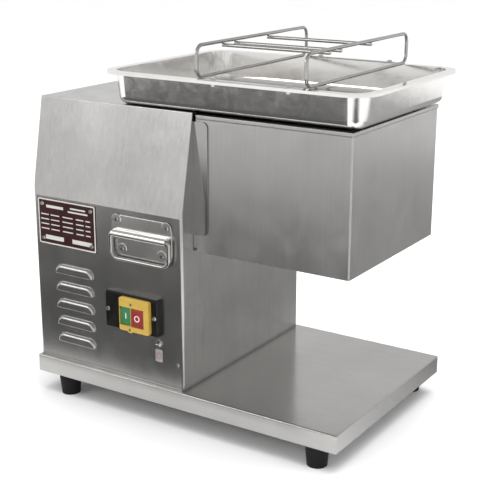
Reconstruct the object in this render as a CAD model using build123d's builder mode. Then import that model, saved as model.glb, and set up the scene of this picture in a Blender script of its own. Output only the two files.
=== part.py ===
from build123d import *
import os
from math import acos, cos, pi, radians, sin, tan

# Bench-top strip cutter for fresh meat.  Millimetres, +Z up, +X towards the cutting head,
# -Y towards the operator.  The origin is on the bench, under the middle of the machine.

os.makedirs("parts", exist_ok=True)

# ---------------------------------------------------------------- driving dimensions

# base
base_left = -270.0
base_length = 520.0
base_depth = 328.0
foot_rise = 31.0                # clear height under the pan
pan_height = 26.0
sheet = 1.5                     # stainless sheet thickness
base_top = foot_rise + pan_height

# feet
foot_places = [(-221, -147), (-221, 147), (213, -147), (213, 147)]
foot_top_radius = 16.5
foot_bottom_radius = 14.0

# drive column
column_left = -268.5
column_right = 2.0
column_half_depth = 157.5
column_top = 452.5
slope_start = 310.5             # height at which the front begins to lean back
slope_back = 28.0
column_front = -column_half_depth
column_inner_right = column_right - sheet

# cutting head hood
hood_left = 5.2
hood_right = 242.6
hood_middle = 2.4               # Y of the head's centre plane
hood_depth = 258.0
hood_bottom = 258.0
hood_top = 449.7
hood_front = hood_middle - hood_depth / 2
hood_back = hood_middle + hood_depth / 2

# blade cassette
blade_height = 350.0            # Z of both blade shafts
blade_spacing = 80.0            # between the two shafts
blade_radius = 46.0
blade_thickness = 1.5
blade_pitch = 10.0
blade_count = 17                # on the front shaft; the rear one has one fewer
first_blade = 45.0              # X of the front shaft's first blade
blade_shaft_radius = 12.5
spacer_radius = 20.0
drive_plate_x = 28.0            # near face of the cassette's drive end plate
far_plate_x = 216.0
end_plate_thickness = 8.0
end_plate_width = 190.0
end_plate_bottom = 294.0
end_plate_top = 406.0
front_shaft_y = hood_middle - blade_spacing / 2
rear_shaft_y = hood_middle + blade_spacing / 2

# gear train: module 2 spur gears
module = 2.0
cassette_teeth = 40
wheel_teeth = 72
pinion_teeth = 18
backlash = 0.3
layshaft_drop = module * (wheel_teeth + pinion_teeth) / 2
layshaft_y = rear_shaft_y
layshaft_z = blade_height - layshaft_drop

# motor and belt
motor_y = 0.0
motor_z = 134.0
motor_radius = 60.0
motor_front_x = -86.0
motor_length = 122.0
belt_x = -60.0                  # middle plane of the belt
driven_pulley_radius = 75.0
motor_pulley_radius = 30.0

# feed tray and guard
tray_x = 60.0
tray_y = 4.0
tray_length = 420.0
tray_width = 300.0
tray_floor = column_top + 0.4   # underside of the tray
rim_top = 500.0
rim_width = 12.0
wall_draft = 5.0                # how far each well wall leans in from mouth to floor
well_bottom_radius = 12.0
tray_sheet = 1.2
guard_x = 100.0
guard_half_width = 82.5
wire_radius = 2.5
guard_top = 544.0               # centre line of the top wires
cross_wire_y = [-79.0, -49.0, 36.5]
guard_screw_offset = 57.0

# throat under the tray
throat_x = 126.0
throat_y = hood_middle
throat_length = 170.0
throat_width = 62.0
throat_bottom = 401.0

# control switch
switch_x = -83.5
switch_z = 160.5
switch_width = 95.0
switch_height = 56.0
switch_proud = 9.0
bezel_x = -73.5
bezel_width = 53.0
bezel_height = 49.5
bezel_proud = 6.5
start_x = -89.0
start_width = 18.5
stop_x = -67.2
stop_width = 21.5
button_z = 157.8
button_height = 27.0

# carrying handle
handle_x = -67.0
handle_plate_width = 104.0
handle_plate_top = 301.5
handle_plate_bottom = 243.0
barrel_z = 275.5
barrel_radius = 5.5
bail_half_width = 51.0
bail_radius = 3.0
bail_drop = 36.5

# rating plate and louvres
plate_x = -205.2
plate_z = 271.8
plate_width = 110.0
plate_height = 70.5
louvre_x = -193.8
louvre_width = 71.0
louvre_height = 13.0
louvre_pitch = 27.0
louvre_low = 88.0               # lower edge of the lowest louvre
louvre_count = 5
louvre_proud = 5.0

# clearances
fit_gap = 0.02                  # between pieces fixed on one another
running_gap = 0.05              # radial, between a shaft and its bearing

# places of the guard's screws on the tray rim
guard_front = tray_y - tray_width / 2 + rim_width / 2
guard_back = tray_y + tray_width / 2 - rim_width / 2
guard_screw_places = [
    (guard_x + side * guard_screw_offset, y) for y in (guard_front, guard_back) for side in (-1, 1)
]

# planes that many pieces are drawn on
front_face = Plane(origin=(0, column_front, 0), x_dir=(1, 0, 0), z_dir=(0, -1, 0))
back_face = Plane(origin=(0, column_half_depth, 0), x_dir=(-1, 0, 0), z_dir=(0, 1, 0))


def save(piece, name):
    """Label a finished piece and write it as its own STEP file."""
    piece.part.label = name
    export_step(piece.part, "parts/" + name + ".step")


def involute(angle):
    """Involute function of a pressure angle in radians."""
    return tan(angle) - angle


def gear_points(teeth, centre, first_tooth):
    """Outline of a full-depth 20 degree spur gear; first_tooth is one tooth's angle in degrees."""
    pitch_radius = module * teeth / 2
    base_radius = pitch_radius * cos(radians(20))
    root_radius = pitch_radius - 1.25 * module
    tip_radius = pitch_radius + module
    flank_start = max(root_radius, base_radius)
    radii = [flank_start, pitch_radius, (pitch_radius + tip_radius) / 2, tip_radius]
    half_at_pitch = pi / (2 * teeth) - backlash / (2 * pitch_radius)
    flank = []
    for radius in radii:
        pressure = acos(min(1.0, base_radius / radius))
        half = half_at_pitch + involute(radians(20)) - involute(pressure)
        flank.append((radius, half))
    if root_radius < base_radius:
        flank.insert(0, (root_radius, flank[0][1]))
    points = []
    for tooth in range(teeth):
        middle = radians(first_tooth) + 2 * pi * tooth / teeth
        corners = [(radius, middle - half) for radius, half in flank]
        corners += [(radius, middle + half) for radius, half in reversed(flank)]
        for radius, angle in corners:
            points.append((centre[0] + radius * cos(angle), centre[1] + radius * sin(angle)))
    return points


# ---------------------------------------------------------------- base

pan_lip = 10.0

with BuildPart() as base_pan:
    with BuildSketch(Plane.XY.offset(foot_rise)):
        with Locations((base_left + base_length / 2, 0)):
            Rectangle(base_length, base_depth)
    extrude(amount=pan_height)
    fillet(base_pan.edges().filter_by(Axis.Z), radius=2.0)
    fillet(base_pan.faces().sort_by(Axis.Z)[-1].edges(), radius=1.8)
    pan_underside = base_pan.faces().sort_by(Axis.Z)[0]
    offset(amount=-sheet, openings=pan_underside)
    # lips folded inwards under the walls
    with BuildSketch(Plane.XY.offset(foot_rise)):
        with Locations((base_left + base_length / 2, 0)):
            Rectangle(base_length - sheet, base_depth - sheet)
            Rectangle(base_length - 2 * pan_lip, base_depth - 2 * pan_lip, mode=Mode.SUBTRACT)
    extrude(amount=sheet)
save(base_pan, "base_pan")

# Folded channels under the pan: the outer two carry the feet, the middle one the side plate.
channel_width = 42.0
channel_wall = 3.0
channel_length = base_depth - 2 * sheet - 2
channel_rise = pan_height - 2 * sheet
channel_floor = foot_rise + sheet

with BuildPart() as base_channels:
    for channel_x, web_below in ((-221, True), (-18, False), (213, True)):
        with BuildSketch(Plane.XZ.offset(-channel_length / 2)):
            with Locations((channel_x, channel_floor + channel_rise / 2)):
                Rectangle(channel_width, channel_rise)
            cut_z = channel_floor + channel_wall if web_below else channel_floor
            with Locations((channel_x, cut_z + (channel_rise - channel_wall) / 2)):
                Rectangle(channel_width - 2 * channel_wall, channel_rise - channel_wall, mode=Mode.SUBTRACT)
        extrude(amount=channel_length)
    with Locations(*[(x, y, channel_floor + channel_wall) for x, y in foot_places]):
        Hole(radius=4.5, depth=channel_wall)
save(base_channels, "base_channels")

foot_collar_radius = 6.5        # stands inside the pan's lip, against the channel

with BuildPart() as rubber_feet:
    for foot_x, foot_y in foot_places:
        with BuildSketch(Plane.XZ.offset(-foot_y)):
            with BuildLine():
                Polyline(
                    (foot_x + 4.6, channel_floor),
                    (foot_x + foot_collar_radius, channel_floor),
                    (foot_x + foot_collar_radius, foot_rise),
                    (foot_x + foot_top_radius, foot_rise),
                    (foot_x + foot_top_radius, foot_rise - 6),
                    (foot_x + foot_bottom_radius, 0),
                    (foot_x + 8.5, 0),
                    (foot_x + 8.5, 16),
                    (foot_x + 4.6, 16),
                    close=True,
                )
            make_face()
        revolve(axis=Axis((foot_x, foot_y, 0), (0, 0, 1)))
save(rubber_feet, "rubber_feet")

with BuildPart() as foot_bolts:
    for foot_x, foot_y in foot_places:
        with BuildSketch(Plane.XY.offset(8)):
            with Locations((foot_x, foot_y)):
                RegularPolygon(radius=7.2, side_count=6)
        extrude(amount=5.5)
        with BuildSketch(Plane.XY.offset(13.5)):
            with Locations((foot_x, foot_y)):
                Circle(8.2)
        extrude(amount=2.5)
        with BuildSketch(Plane.XY.offset(16)):
            with Locations((foot_x, foot_y)):
                Circle(4.0)
        extrude(amount=30)
        with BuildSketch(Plane.XY.offset(channel_floor + channel_wall)):
            with Locations((foot_x, foot_y)):
                RegularPolygon(radius=7.2, side_count=6)
        extrude(amount=6.5)
save(foot_bolts, "foot_bolts")

# ---------------------------------------------------------------- drive column

column_length = column_right - column_left
column_middle_x = (column_left + column_right) / 2
cover_seat = column_half_depth - sheet      # Y of the plane that the rear cover lies on
column_corner = 4.5
louvre_corner = 12.0
louvre_skin = 1.2
louvre_roundness = 4.2          # of the pressed bulge's outer edge
back_flange = 17.0
vent_slot_length = 60.0
vent_slot_width = 4.0
# rear cover screws, on the back face, whose X runs the other way
cover_screws = [(side * 124 - column_middle_x, z) for side in (-1, 1) for z in (72.0, 254.0, 440.0)]
switch_body_width = 70.0
switch_body_height = 46.0
rivet_spread_x = 46.3
rivet_spread_z = 26.3
plate_rivets = [
    (plate_x + i * rivet_spread_x, plate_z + j * rivet_spread_z) for i in (-1, 1) for j in (-1, 1)
]
handle_rivets = [(handle_x + x, z) for x, z in ((-44, 294.5), (44, 294.5), (-35, 252.5), (35, 252.5))]
earth_screw_place = (-40.3, 121.0)
front_screw_place = (-8.7, 95.0)
wall_screw_z = 101.7
wall_screw_y = [-140.0, 140.0]
coupling_hole_radius = 17.0
rail_size = 18.0
rail_offset = 84.0
rail_top = end_plate_bottom
rail_places = [(hood_middle + side * rail_offset, rail_top - rail_size / 2) for side in (-1, 1)]


def louvre_bulge(inset, depth):
    """The lowest louvre's bulge, shrunk by inset, with its upper corners and outer edge rounded."""
    half = louvre_width / 2 - inset
    top = louvre_low + louvre_height - inset
    bottom = louvre_low - inset
    with BuildPart() as bulge:
        with BuildSketch(front_face.offset(-depth)):
            with BuildLine():
                FilletPolyline(
                    (louvre_x - half, bottom),
                    (louvre_x - half, top),
                    (louvre_x + half, top),
                    (louvre_x + half, bottom),
                    radius=louvre_corner - inset,
                )
                Line((louvre_x + half, bottom), (louvre_x - half, bottom))
            make_face()
        extrude(amount=depth + louvre_proud - inset)
        outer_edges = bulge.edges().group_by(Axis.Y)[0].sort_by(Axis.Z)
        fillet(outer_edges[1:], radius=louvre_roundness - inset)
    return bulge.part


with BuildPart() as column_shell:
    with BuildSketch(Plane.YZ.offset(column_left)):
        with BuildLine():
            Polyline(
                (column_front, base_top),
                (column_front, slope_start),
                (column_front + slope_back, column_top),
                (cover_seat, column_top),
                (cover_seat, base_top),
                close=True,
            )
        make_face()
    extrude(amount=column_length)
    front_corners = column_shell.edges().filter_by(Axis.Z).group_by(Axis.Y)[0]
    fillet(front_corners, radius=column_corner)
    shell_back = column_shell.faces().filter_by(Axis.Y).sort_by(Axis.Y)[-1]
    shell_underside = column_shell.faces().filter_by(Axis.Z).sort_by(Axis.Z)[0]
    offset(amount=-sheet, openings=[shell_back, shell_underside])
    # flange folded inwards round the back opening
    with BuildSketch(Plane.XZ.offset(-cover_seat)):
        with Locations((column_middle_x, (base_top + column_top) / 2)):
            Rectangle(column_length - sheet, column_top - base_top - sheet)
            Rectangle(
                column_length - 2 * back_flange,
                column_top - base_top - 2 * back_flange,
                mode=Mode.SUBTRACT,
            )
        with Locations(*[(-x, z) for x, z in cover_screws]):
            Circle(2.1, mode=Mode.SUBTRACT)
    extrude(amount=sheet)
    # pressed louvres, open along their lower edge
    with Locations(*[(0, 0, row * louvre_pitch) for row in range(louvre_count)]):
        add(louvre_bulge(0, sheet / 2))
        add(louvre_bulge(louvre_skin, 2 * sheet), mode=Mode.SUBTRACT)
    # holes in the front face: switch, rivets and screws
    with BuildSketch(front_face.offset(-2 * sheet)):
        with Locations((switch_x, switch_z)):
            Rectangle(switch_body_width + 1, switch_body_height + 1)
        with Locations(*plate_rivets, *handle_rivets):
            Circle(1.6)
        with Locations(earth_screw_place, front_screw_place):
            Circle(2.6)
    extrude(amount=3 * sheet, mode=Mode.SUBTRACT)
    # holes in the right wall: drive coupling and cassette rails
    with BuildSketch(Plane.YZ.offset(column_inner_right - 1)):
        with Locations((rear_shaft_y, blade_height)):
            Circle(coupling_hole_radius)
        with Locations(*rail_places):
            Rectangle(rail_size + 0.4, rail_size + 0.4)
    extrude(amount=sheet + 2, mode=Mode.SUBTRACT)
    # screw holes in the left wall
    with BuildSketch(Plane.YZ.offset(column_left - 1)):
        with Locations(*[(y, wall_screw_z) for y in wall_screw_y]):
            Circle(2.1)
    extrude(amount=sheet + 2, mode=Mode.SUBTRACT)
save(column_shell, "column_shell")

gland_place = (200.0, 96.0)      # on the back face
vent_heights = [190.0, 380.0]

with BuildPart() as rear_cover:
    with BuildSketch(back_face.offset(-sheet)):
        with Locations((-column_middle_x, (base_top + column_top) / 2)):
            RectangleRounded(column_length - 3, column_top - base_top - 3, 3)
        with Locations(*cover_screws):
            Circle(2.1, mode=Mode.SUBTRACT)
        with Locations(gland_place):
            Circle(8.1, mode=Mode.SUBTRACT)
        with Locations(*[(-column_middle_x, z) for z in vent_heights]):
            with GridLocations(80, 14, 2, 6):
                SlotOverall(vent_slot_length, vent_slot_width, mode=Mode.SUBTRACT)
    extrude(amount=sheet)
save(rear_cover, "rear_cover")


def pan_heads(*groups, recess=True):
    """Screws or rivets with low coned heads; screws have a cross recess.  A group is (places,
    plane, head, shank), and the last two are each a radius and a length."""
    with BuildPart() as fasteners:
        for places, plane, (head_radius, head_height), (shank_radius, shank_length) in groups:
            with BuildSketch(plane):
                with Locations(*places):
                    Circle(head_radius)
            extrude(amount=head_height, taper=28)
            with BuildSketch(plane):
                with Locations(*places):
                    Circle(shank_radius)
            extrude(amount=-shank_length)
            if recess:
                with BuildSketch(plane.offset(head_height)):
                    with Locations(*places):
                        Rectangle(head_radius, 0.28 * head_radius, rotation=20)
                        Rectangle(0.28 * head_radius, head_radius, rotation=20)
                extrude(amount=-0.7 * head_height, mode=Mode.SUBTRACT)
    return fasteners


rear_cover_screws = pan_heads((cover_screws, back_face, (4.0, 2.2), (2.0, 8)))
save(rear_cover_screws, "rear_cover_screws")

left_wall = Plane(origin=(column_left, 0, 0), x_dir=(0, -1, 0), z_dir=(-1, 0, 0))

shell_screws = pan_heads(
    ([front_screw_place], front_face, (2.8, 1.2), (2.5, 7)),
    ([(-y, wall_screw_z) for y in wall_screw_y], left_wall, (3.6, 1.4), (2.0, 7)),
)
save(shell_screws, "shell_screws")

gland_nut_depth = 5.0
gland_reach = 16.2

with BuildPart() as cable_gland:
    with BuildSketch(back_face):
        with Locations(gland_place):
            RegularPolygon(radius=12.5, side_count=6)
    extrude(amount=6)
    with BuildSketch(back_face.offset(6)):
        with Locations(gland_place):
            Circle(10)
    extrude(amount=gland_reach - 6, taper=8)
    with BuildSketch(back_face):
        with Locations(gland_place):
            Circle(8.0)
    extrude(amount=-14)
    with BuildSketch(back_face.offset(-sheet)):
        with Locations(gland_place):
            RegularPolygon(radius=12.0, side_count=6)
    extrude(amount=-gland_nut_depth)
    with BuildSketch(back_face.offset(-20)):
        with Locations(gland_place):
            Circle(4.2)
    extrude(amount=40, mode=Mode.SUBTRACT)
save(cable_gland, "cable_gland")

# ---------------------------------------------------------------- drive frame inside the column

side_plate_thickness = 10.0
side_plate_width = 260.0
side_plate_y = 10.0
side_plate_top = 436.0
side_foot_reach = 30.0
side_foot_thickness = 8.0
side_plate_left = column_inner_right - side_plate_thickness
inner_plate_left = -44.0
inner_plate_thickness = 8.0
inner_plate_right = inner_plate_left + inner_plate_thickness
output_bearing_radius = 23.5
layshaft_bearing_radius = 21.0
output_radius = 12.5
layshaft_radius = 10.0
pillar_places = [(-42, 240), (127, 240), (-42, 416), (127, 416)]

with BuildPart() as side_plate:
    with BuildSketch(Plane.YZ.offset(side_plate_left)):
        with Locations((side_plate_y, (base_top + side_plate_top) / 2)):
            Rectangle(side_plate_width, side_plate_top - base_top)
        with Locations((rear_shaft_y, blade_height)):
            Circle(output_bearing_radius + fit_gap, mode=Mode.SUBTRACT)
        with Locations((layshaft_y, layshaft_z)):
            Circle(layshaft_bearing_radius + fit_gap, mode=Mode.SUBTRACT)
    extrude(amount=side_plate_thickness)
    # foot welded along the bottom
    with BuildSketch(Plane.XY.offset(base_top)):
        with Locations((side_plate_left - side_foot_reach / 2, side_plate_y)):
            Rectangle(side_foot_reach, side_plate_width)
    extrude(amount=side_foot_thickness)
save(side_plate, "side_plate")

with BuildPart() as inner_plate:
    with BuildSketch(Plane.YZ.offset(inner_plate_left)):
        with Locations((rear_shaft_y, 328)):
            RectangleRounded(190, 200, 12)
        with Locations((rear_shaft_y, blade_height)):
            Circle(output_bearing_radius + fit_gap, mode=Mode.SUBTRACT)
        with Locations((layshaft_y, layshaft_z)):
            Circle(layshaft_bearing_radius + fit_gap, mode=Mode.SUBTRACT)
    extrude(amount=inner_plate_thickness)
save(inner_plate, "inner_plate")

with BuildPart() as plate_pillars:
    with BuildSketch(Plane.YZ.offset(inner_plate_right)):
        with Locations(*pillar_places):
            Circle(7)
    extrude(amount=side_plate_left - inner_plate_right)
save(plate_pillars, "plate_pillars")

motor_back_x = motor_front_x - motor_length
shield_thickness = 10.0
motor_shaft_radius = 9.5
motor_bearing_radius = 15.0

# each shaft's centre, bearing radius and shaft radius, and the left face and width of its two seats
side_seat = (side_plate_left, side_plate_thickness)
inner_seat = (inner_plate_left, inner_plate_thickness)
shield_seats = [(x, shield_thickness) for x in (motor_front_x, motor_back_x - shield_thickness)]
bearing_rows = [
    ((rear_shaft_y, blade_height), output_bearing_radius, output_radius, [side_seat, inner_seat]),
    ((layshaft_y, layshaft_z), layshaft_bearing_radius, layshaft_radius, [side_seat, inner_seat]),
    ((motor_y, motor_z), motor_bearing_radius, motor_shaft_radius, shield_seats),
]

with BuildPart() as shaft_bearings:
    for centre, outer, bore, seats in bearing_rows:
        for left, width in seats:
            with BuildSketch(Plane.YZ.offset(left)):
                with Locations(centre):
                    Circle(outer)
                    Circle(bore + running_gap, mode=Mode.SUBTRACT)
            extrude(amount=width)
save(shaft_bearings, "shaft_bearings")

# ---------------------------------------------------------------- rotating parts of the drive

output_left = -47.0
coupling_face = 9.0
tongue_depth = 8.0
tongue_width = 7.6
wheel_left = -31.0
wheel_width = 18.0

with BuildPart() as output_shaft:
    with BuildSketch(Plane.YZ.offset(output_left)):
        with Locations((rear_shaft_y, blade_height)):
            Circle(output_radius)
    extrude(amount=coupling_face - output_left)
    # slot that takes the blade shaft's tongue
    with BuildSketch(Plane.YZ.offset(coupling_face - tongue_depth)):
        with Locations((rear_shaft_y, blade_height)):
            Rectangle(tongue_width + 0.4, 4 * output_radius)
    extrude(amount=tongue_depth + 1, mode=Mode.SUBTRACT)
save(output_shaft, "output_shaft")


def spur_gear(teeth, centre, first_tooth, left, width, bore, web_holes=0):
    """A spur gear turning about an X axis, with web_holes lightening holes."""
    with BuildPart() as gear:
        with BuildSketch(Plane.YZ.offset(left)):
            with BuildLine():
                Polyline(*gear_points(teeth, centre, first_tooth), close=True)
            make_face()
            with Locations(centre):
                Circle(bore + fit_gap, mode=Mode.SUBTRACT)
                if web_holes:
                    with PolarLocations(42, web_holes):
                        Circle(13, mode=Mode.SUBTRACT)
        extrude(amount=width)
    return gear


drive_gear = spur_gear(
    wheel_teeth,
    (rear_shaft_y, blade_height),
    0,
    wheel_left,
    wheel_width,
    output_radius,
    web_holes=6,
)
save(drive_gear, "drive_gear")

layshaft_left = -74.0

with BuildPart() as layshaft:
    with BuildSketch(Plane.YZ.offset(layshaft_left)):
        with Locations((layshaft_y, layshaft_z)):
            Circle(layshaft_radius)
    extrude(amount=column_inner_right - 0.5 - layshaft_left)
save(layshaft, "layshaft")

pinion = spur_gear(pinion_teeth, (layshaft_y, layshaft_z), 0, wheel_left, wheel_width, layshaft_radius)
save(pinion, "pinion")

pulley_width = 18.0
groove_depth = 10.0
belt_width = 9.0
belt_thickness = 7.0


def pulley(centre, rim_radius, bore, left_hub, right_hub):
    """A single-groove V pulley turning about an X axis, with a hub at each side."""
    y, z = centre
    half = pulley_width / 2
    groove_bottom = rim_radius - groove_depth
    hub = bore + 8
    with BuildPart() as wheel:
        with BuildSketch(Plane(origin=(belt_x, y, z), x_dir=(1, 0, 0), z_dir=(0, -1, 0))):
            with BuildLine():
                Polyline(
                    (-half - left_hub, bore + fit_gap),
                    (-half - left_hub, hub),
                    (-half, hub),
                    (-half, rim_radius),
                    (-7.5, rim_radius),
                    (-5.0, groove_bottom),
                    (5.0, groove_bottom),
                    (7.5, rim_radius),
                    (half, rim_radius),
                    (half, hub),
                    (half + right_hub, hub),
                    (half + right_hub, bore + fit_gap),
                    close=True,
                )
            make_face()
        revolve(axis=Axis((belt_x, y, z), (1, 0, 0)))
    return wheel


driven_pulley = pulley((layshaft_y, layshaft_z), driven_pulley_radius, layshaft_radius, 3, 5)
save(driven_pulley, "driven_pulley")

motor_pulley = pulley((motor_y, motor_z), motor_pulley_radius, motor_shaft_radius, 4, 1)
save(motor_pulley, "motor_pulley")

belt_lift = 0.5                 # belt clear of the groove bottom
belt_inner_driven = driven_pulley_radius - groove_depth + belt_lift
belt_inner_motor = motor_pulley_radius - groove_depth + belt_lift

with BuildPart() as v_belt:
    with BuildSketch(Plane.YZ.offset(belt_x - belt_width / 2)):
        with Locations((layshaft_y, layshaft_z)):
            Circle(belt_inner_driven + belt_thickness)
        with Locations((motor_y, motor_z)):
            Circle(belt_inner_motor + belt_thickness)
        make_hull()
    extrude(amount=belt_width)
    with BuildSketch(Plane.YZ.offset(belt_x - belt_width / 2)):
        with Locations((layshaft_y, layshaft_z)):
            Circle(belt_inner_driven)
        with Locations((motor_y, motor_z)):
            Circle(belt_inner_motor)
        make_hull()
    extrude(amount=belt_width, mode=Mode.SUBTRACT)
save(v_belt, "v_belt")

# ---------------------------------------------------------------- motor

fin_root_radius = 52.0
stator_bore = 36.0
rotor_radius = 35.0
fin_count = 30
motor_centre = (motor_y, motor_z)
motor_foot_bottom = base_top + 5.0
fan_left = motor_back_x - shield_thickness - 22

with BuildPart() as motor_housing:
    with BuildSketch(Plane.YZ.offset(motor_back_x)):
        with Locations(motor_centre):
            Circle(fin_root_radius)
            with PolarLocations(fin_root_radius + 2, fin_count):
                Rectangle(2 * (motor_radius - fin_root_radius) - 4, 2.4)
    extrude(amount=motor_length)
    with BuildSketch(Plane.YZ.offset(motor_back_x + 15)):
        with Locations((motor_y, motor_foot_bottom + 4)):
            Rectangle(110, 8)
        with Locations((motor_y, motor_foot_bottom + 24)):
            Rectangle(74, 40)
    extrude(amount=motor_length - 30)
    with BuildSketch(Plane.YZ.offset(motor_back_x)):
        with Locations(motor_centre):
            Circle(stator_bore)
    extrude(amount=motor_length, mode=Mode.SUBTRACT)
save(motor_housing, "motor_housing")

with BuildPart() as motor_end_shields:
    for left in (motor_front_x, motor_back_x - shield_thickness):
        with BuildSketch(Plane.YZ.offset(left)):
            with Locations(motor_centre):
                Circle(fin_root_radius + 4)
                Circle(motor_bearing_radius + fit_gap, mode=Mode.SUBTRACT)
        extrude(amount=shield_thickness)
save(motor_end_shields, "motor_end_shields")

with BuildPart() as motor_shaft:
    with BuildSketch(Plane.YZ.offset(fan_left)):
        with Locations(motor_centre):
            Circle(motor_shaft_radius)
    extrude(amount=belt_x + pulley_width / 2 + 2 - fan_left)
    with BuildSketch(Plane.YZ.offset(motor_back_x + 14)):
        with Locations(motor_centre):
            Circle(rotor_radius)
    extrude(amount=motor_length - 28)
save(motor_shaft, "motor_shaft")

fan_hub = 15.0
fan_blade_reach = 46.0

with BuildPart() as motor_fan:
    with BuildSketch(Plane.YZ.offset(fan_left + 2)):
        with Locations(motor_centre):
            Circle(fan_hub)
            with PolarLocations((fan_hub + fan_blade_reach) / 2, 8):
                Rectangle(fan_blade_reach - fan_hub + 4, 2.5)
            Circle(motor_shaft_radius + fit_gap, mode=Mode.SUBTRACT)
    extrude(amount=16)
save(motor_fan, "motor_fan")

cowl_radius = 61.5
cowl_left = fan_left - 6
cowl_length = motor_back_x - cowl_left

with BuildPart() as motor_fan_cowl:
    with BuildSketch(Plane.YZ.offset(cowl_left)):
        with Locations(motor_centre):
            Circle(cowl_radius)
    extrude(amount=cowl_length)
    fillet(motor_fan_cowl.faces().sort_by(Axis.X)[0].edges(), radius=6)
    cowl_mouth = motor_fan_cowl.faces().sort_by(Axis.X)[-1]
    offset(amount=-1.2, openings=cowl_mouth)
    with BuildSketch(Plane.YZ.offset(cowl_left - 1)):
        with Locations(motor_centre):
            for ring_radius, holes in ((18, 10), (30, 16), (42, 22)):
                with PolarLocations(ring_radius, holes):
                    Circle(3.4)
    extrude(amount=5, mode=Mode.SUBTRACT)
save(motor_fan_cowl, "motor_fan_cowl")

with BuildPart() as motor_plate:
    with BuildSketch(Plane.XY.offset(base_top)):
        with Locations(((motor_front_x + motor_back_x) / 2, motor_y)):
            Rectangle(motor_length + 20, 150)
            with GridLocations(motor_length, 130, 2, 2):
                SlotOverall(16, 8, rotation=90, mode=Mode.SUBTRACT)
    extrude(amount=5)
save(motor_plate, "motor_plate")

# ---------------------------------------------------------------- cutting head

hem_height = 5.0
hem_proud = 0.7
hood_corner = 2.0
hood_length = hood_right - hood_left
hood_lip = 10.0

with BuildPart() as head_hood:
    with BuildSketch(Plane.XY.offset(hood_bottom)):
        with Locations(((hood_left + hood_right) / 2, hood_middle)):
            Rectangle(hood_length, hood_depth)
    extrude(amount=hood_top - hood_bottom)
    far_corners = head_hood.edges().filter_by(Axis.Z).group_by(Axis.X)[-1]
    fillet(far_corners, radius=hood_corner)
    hood_mouths = head_hood.faces().filter_by(Axis.Z)
    hood_column_side = head_hood.faces().filter_by(Axis.X).sort_by(Axis.X)[0]
    offset(amount=-sheet, openings=[*hood_mouths, hood_column_side])
    # lips folded inwards at the top and bottom of the three walls
    for lip_z in (hood_bottom, hood_top - sheet):
        with BuildSketch(Plane.XY.offset(lip_z)):
            with Locations(((hood_left + hood_right - sheet) / 2, hood_middle)):
                Rectangle(hood_length - sheet, hood_depth - sheet)
            with Locations(((hood_left + hood_right) / 2 - hood_lip, hood_middle)):
                Rectangle(hood_length, hood_depth - 2 * hood_lip, mode=Mode.SUBTRACT)
        extrude(amount=sheet)
    # hem folded over the outside of the top edge
    with BuildSketch(Plane.XY.offset(hood_top - hem_height)):
        with Locations(((hood_left + hood_right) / 2, hood_middle)):
            Rectangle(hood_length + 2 * hem_proud, hood_depth + 2 * hem_proud)
            Rectangle(hood_length - sheet, hood_depth - sheet, mode=Mode.SUBTRACT)
        with Locations((hood_left, hood_middle)):
            Rectangle(sheet + 2 * hem_proud, 2 * hood_depth, mode=Mode.SUBTRACT)
    extrude(amount=hem_height)
save(head_hood, "head_hood")

tab_sheet = 1.2
tab_reach = 23.0
tab_bottom = 283.0
tab_top = 441.0
tab_corner = 8.0
tab_gap = 0.5

with BuildPart() as hood_tabs:
    for side, wall_y in ((-1, hood_front), (1, hood_back)):
        outside = wall_y + side * (tab_gap + tab_sheet / 2)
        tab_plane = Plane(origin=(0, outside, 0), x_dir=(1, 0, 0), z_dir=(0, -1, 0))
        with BuildSketch(tab_plane):
            with BuildLine():
                FilletPolyline(
                    (column_right, tab_bottom),
                    (column_right + tab_reach, tab_bottom),
                    (column_right + tab_reach, tab_top),
                    (column_right, tab_top),
                    radius=tab_corner,
                )
                Line((column_right, tab_top), (column_right, tab_bottom))
            make_face()
        extrude(amount=tab_sheet / 2, both=True)
        # leg that lies on the column wall, inside the hood
        with BuildSketch(Plane.YZ.offset(column_right)):
            with Locations((wall_y + side * (tab_gap + tab_sheet) - side * 11, (tab_bottom + tab_top) / 2)):
                Rectangle(22, tab_top - tab_bottom)
        extrude(amount=tab_sheet)
save(hood_tabs, "hood_tabs")

rail_end = 236.0

with BuildPart() as cassette_rails:
    with BuildSketch(Plane.YZ.offset(column_inner_right)):
        with Locations(*rail_places):
            Rectangle(rail_size, rail_size)
    extrude(amount=rail_end - column_inner_right)
    chamfer(cassette_rails.faces().sort_by(Axis.X)[-2:].edges(), length=2)
save(cassette_rails, "cassette_rails")

# ---------------------------------------------------------------- blade cassette

bush_radius = 17.0
rod_radius = 6.0
rod_stud_radius = 4.0
rod_places = [(hood_middle + i * rail_offset, blade_height + j * 44) for i in (-1, 1) for j in (-1, 1)]
shaft_places = [(front_shaft_y, blade_height), (rear_shaft_y, blade_height)]
drive_plate_right = drive_plate_x + end_plate_thickness
far_plate_right = far_plate_x + end_plate_thickness


def end_plate(left):
    """One end plate of the cassette."""
    with BuildPart() as plate:
        with BuildSketch(Plane.YZ.offset(left)):
            with Locations((hood_middle, (end_plate_bottom + end_plate_top) / 2)):
                RectangleRounded(end_plate_width, end_plate_top - end_plate_bottom, 6)
            with Locations(*shaft_places):
                Circle(bush_radius + fit_gap, mode=Mode.SUBTRACT)
            with Locations(*rod_places):
                Circle(rod_stud_radius + 0.1, mode=Mode.SUBTRACT)
        extrude(amount=end_plate_thickness)
    return plate


save(end_plate(drive_plate_x), "drive_end_plate")
save(end_plate(far_plate_x), "far_end_plate")

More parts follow.
